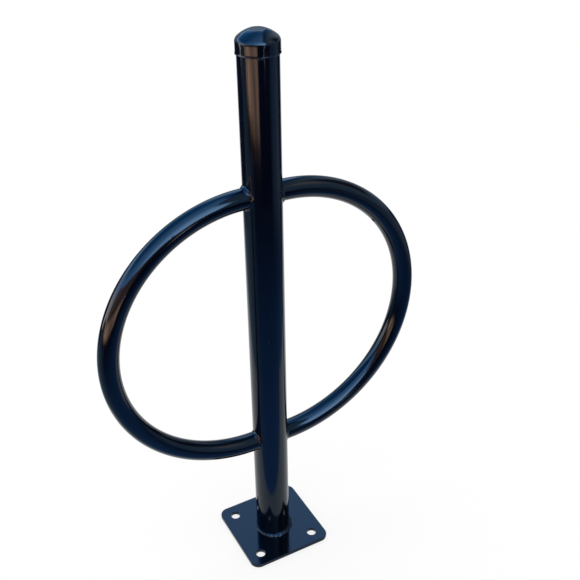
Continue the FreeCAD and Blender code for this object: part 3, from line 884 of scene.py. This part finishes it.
def add_stage(name, grid, surface):
    """A sheet of the studio made from a grid of points, with the shader that a function adds to its tree.
    """
    material = bpy.data.materials.new(name)
    shade = new_tree(material)
    places = shade.node("ShaderNodeTexCoord", {}, {}, "Object")
    shade.node("ShaderNodeOutputMaterial", {}, {"Surface": surface(shade, places)})
    mesh = bpy.data.meshes.new(name)
    mesh.from_pydata(grid.reshape(-1, 3), [], quads(*grid.shape[:2], 0))
    mesh.materials.append(material)
    sheet = bpy.data.objects.new(name, mesh)
    bpy.context.scene.collection.objects.link(sheet)
    return sheet


def square(reach, height):
    """The four corners of a level square about the origin, as a grid."""
    ends = np.array([-reach, reach])
    x, y = np.meshgrid(ends, ends, indexing="ij")
    return np.stack([x, y, np.full_like(x, height)], -1)


def white_floor(shade, places):
    """White to the camera and in reflections. Near the plate a share of it is matt and takes the shadow."""
    white = shade.node("ShaderNodeEmission", {}, {"Color": WHITE, "Strength": 1.0})
    matt = shade.node("ShaderNodeBsdfDiffuse", {}, {"Color": FLOOR_MATT})
    rays = ("Is Camera Ray", "Is Glossy Ray", "Is Transmission Ray")
    camera, glossy, through = (shade.node("ShaderNodeLightPath", {}, {}, ray) for ray in rays)
    plain = FLOOR_WHITE + (1 - FLOOR_WHITE) * places.length().ramp(*FLOOR_FADE)
    share = (camera + glossy + through) * plain
    return shade.node("ShaderNodeMixShader", {}, {0: share, 1: matt, 2: white})


def painted_reflection_sheet(shade, places):
    """A glowing sheet on the floor outside the picture, seen only in the coat's reflections: painted
    reflections, navy near the plate, nearly black far off, grey beside it.

    Two narrow glowing strips lie far out on it, painted pale and warm highlights, each between two bearings
    from straight behind the post.
    """
    ahead = places.along(AHEAD)
    aside = places.along(ASIDE)
    distance = places.length()
    front = distance.ramp(*NEAR_TO_FAR).mix(SHEET_GLOW_NEAR, SHEET_GLOW_FAR)
    side = aside / distance
    left_end = ahead.ramp(*LEFT_END_AHEAD) * distance.ramp(*LEFT_END)
    left = (1 - side.ramp(*LEFT_SHARE)) * (1 - left_end)
    right = side.ramp(*RIGHT_SHARE) * distance.ramp(*RIGHT_START)
    colour = right.mix(left.mix(front, SHEET_GLOW_LEFT), SHEET_GLOW_RIGHT)
    bearing = shade.math("ARCTAN2", aside, ahead)
    for (first, last), strip in ((LEFT_STRIP, STRIP_PALE), (RIGHT_STRIP, STRIP_WARM)):
        past_first = bearing.ramp(first - STRIP_SOFT, first + STRIP_SOFT)
        past_last = bearing.ramp(last - STRIP_SOFT, last + STRIP_SOFT)
        colour = (distance.ramp(*STRIP_START) * past_first * (1 - past_last)).mix(colour, strip)
    beside = abs(aside) - VIEW_SPREAD * ahead - VIEW_HALF_WIDTH
    outside = shade.math("MAXIMUM", beside, VIEW_FRONT - ahead)
    clear = shade.node("ShaderNodeBsdfTransparent", {}, {})
    # The sheet glows with these colours: they are painted reflections, not a cloth lit by the lamps.
    reflection_sheet = shade.node("ShaderNodeEmission", {}, {"Color": colour, "Strength": 1.0})
    return shade.node("ShaderNodeMixShader", {}, {0: outside.ramp(0.0, SHEET_EDGE), 1: clear, 2: reflection_sheet})


def warm_glow_card(shade, places):
    """A warm glowing sheet for a painted reflection, brightest at its far left. Its foot fades out and
    climbs as sin^4 to the left.
    """
    left = places.along(-ASIDE / CARD_DISTANCE)
    height = places.along(UP)
    foot = CARD_FOOT + CARD_CLIMB * (left * left * left * left)
    mottled = MOTTLE_LEAST + MOTTLE_ADDED * noise(shade, places, MOTTLE_CELLS).ramp(*MOTTLE_SPREAD)
    bright = (1 + CARD_LEFT_ADDED * left.ramp(*CARD_LEFT)) * (1 - CARD_DIMMED * height.ramp(*CARD_DIM))
    share = mottled * bright * (height - foot).ramp(-CARD_FADE, CARD_FADE) / CARD_GREATEST
    colour = share.mix(BLACK, CARD_BRIGHT)
    return shade.node("ShaderNodeEmission", {}, {"Color": colour, "Strength": 1.0})


def card_round_post():
    """An upright sheet round the post between two bearings left of the camera: (-r sin a, -r cos a, z)."""
    bearing = np.linspace(*CARD_SPAN, CARD_POINTS)[:, None, None]
    height = np.array([CARD_LOW, CARD_TOP])[None, :, None]
    return -CARD_DISTANCE * (np.sin(bearing) * ASIDE + np.cos(bearing) * AHEAD) + height * UP


def add_surroundings():
    """The floor, and the glowing sheet and card that only the coat's reflections show: painted reflections.
    """
    add_stage("floor", square(FLOOR_REACH, 0.0), white_floor)
    reflection_sheet = add_stage("painted_reflection_sheet", square(FLOOR_REACH, SHEET_LIFT), painted_reflection_sheet)
    card = add_stage("warm_glow_card", card_round_post(), warm_glow_card)
    for sheet in (reflection_sheet, card):
        sheet.visible_camera = False
        sheet.visible_diffuse = False
        sheet.visible_shadow = False


pipe_coat = gloss_coat("pipe_coat")
weld_coat = gloss_coat("weld_coat", peel=1.5, wave=2.0)
make_piece("coated_post", [post_pipe()], pipe_coat, "post_tube")
make_piece("coated_plate", base_plate(), pipe_coat, "base_plate")
make_piece("coated_cap", [pressed_cap()], pipe_coat, "post_cap")
make_piece("cap_tack_beads", cap_tacks(), weld_coat, "cap_tack_welds")
make_piece("foot_bead", [foot_bead()], weld_coat, "foot_weld")
make_piece("coat_drops", coat_drops(), pipe_coat)
for side_name, side in (("right", 1), ("left", -1)):
    make_piece(f"{side_name}_loop_pipe", [loop_pipe(side)], pipe_coat, f"{side_name}_loop")
    for end_name, upward in (("upper", 1), ("lower", -1)):
        grid = loop_bead(side, upward, *LOOP_BEADS[side_name, end_name])
        make_piece(f"{side_name}_{end_name}_bead", [grid], weld_coat, f"{side_name}_{end_name}_weld")

add_camera()
add_room()
add_key()
add_surroundings()
bpy.context.scene.view_settings.view_transform = "Standard"
